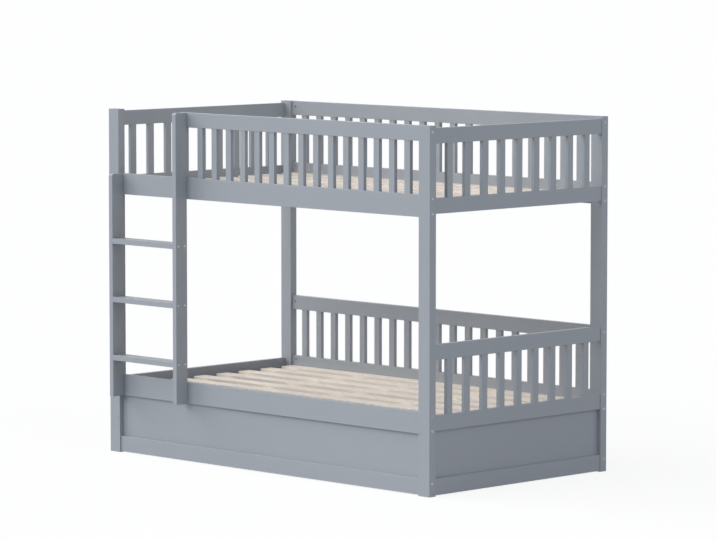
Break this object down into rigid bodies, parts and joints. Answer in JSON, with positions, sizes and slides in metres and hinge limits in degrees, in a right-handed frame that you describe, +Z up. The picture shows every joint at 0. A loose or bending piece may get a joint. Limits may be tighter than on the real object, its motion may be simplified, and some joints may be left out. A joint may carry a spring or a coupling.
{
  "type": "bunk bed",
  "caption": "Bunk bed for two twin mattresses: slatted guards and ends, lengthwise slats, an upright ladder fixed at the front and a panelled base.",
  "frame": {"origin": "on the floor, in the middle of the bed's whole box, ladder included", "axes": "+X along the bed's length, with the ladder at the -X end of the front; +Y from the front to the back; +Z up"},
  "size_m": [2.01, 1.166, 1.548],
  "materials": {
    "grey_paint": "satin grey paint on solid pine, long edges slightly eased",
    "bare_pine": "planed bare pine, pale, with fine straight grain and small knots",
    "beech": "plain turned beech dowel",
    "zinc_steel": "bright zinc plate",
    "screw_steel": "bright zinc plate, countersunk heads"
  },
  "bodies": {
    "root": {"post_front_left": "grey_paint", "post_front_right": "grey_paint", "post_back_left": "grey_paint", "post_back_right": "grey_paint", "upper_side_rail_front": "grey_paint", "upper_side_rail_back": "grey_paint", "upper_guard_rail_front": "grey_paint", "upper_guard_rail_back": "grey_paint", "upper_guard_stile": "grey_paint", "upper_guard_spindles_front": "grey_paint", "upper_guard_spindles_back": "grey_paint", "upper_end_top_rail_left": "grey_paint", "upper_end_top_rail_right": "grey_paint", "upper_end_low_rail_left": "grey_paint", "upper_end_low_rail_right": "grey_paint", "upper_end_spindles_left": "grey_paint", "upper_end_spindles_right": "grey_paint", "upper_ledger_front": "bare_pine", "upper_ledger_back": "bare_pine", "upper_cross_bearers": "bare_pine", "upper_slats": "bare_pine", "lower_side_rail_front": "grey_paint", "lower_side_rail_back": "grey_paint", "lower_guard_rail_back": "grey_paint", "lower_guard_spindles_back": "grey_paint", "lower_end_top_rail_right": "grey_paint", "lower_end_low_rail_right": "grey_paint", "lower_end_low_rail_left": "grey_paint", "lower_end_spindles_right": "grey_paint", "lower_ledger_front": "bare_pine", "lower_ledger_back": "bare_pine", "lower_cross_bearers": "bare_pine", "lower_slats": "bare_pine", "base_board_front": "grey_paint", "base_board_back": "grey_paint", "base_board_left": "grey_paint", "base_board_right": "grey_paint", "base_panel_front": "grey_paint", "base_panel_back": "grey_paint", "base_panel_left": "grey_paint", "base_panel_right": "grey_paint", "corner_blocks": "bare_pine", "ladder_leg_left": "grey_paint", "ladder_leg_right": "grey_paint", "ladder_rung_bottom": "grey_paint", "ladder_rung_middle": "grey_paint", "ladder_rung_top": "grey_paint", "frame_bolts": "zinc_steel", "barrel_nuts": "zinc_steel", "frame_dowels": "beech", "bearer_dowels": "beech", "slat_screws": "screw_steel", "ledger_screws": "screw_steel", "rung_screws": "screw_steel", "ladder_screws": "screw_steel", "corner_block_screws": "screw_steel", "panel_screws": "screw_steel"}
  },
  "joints": []
}
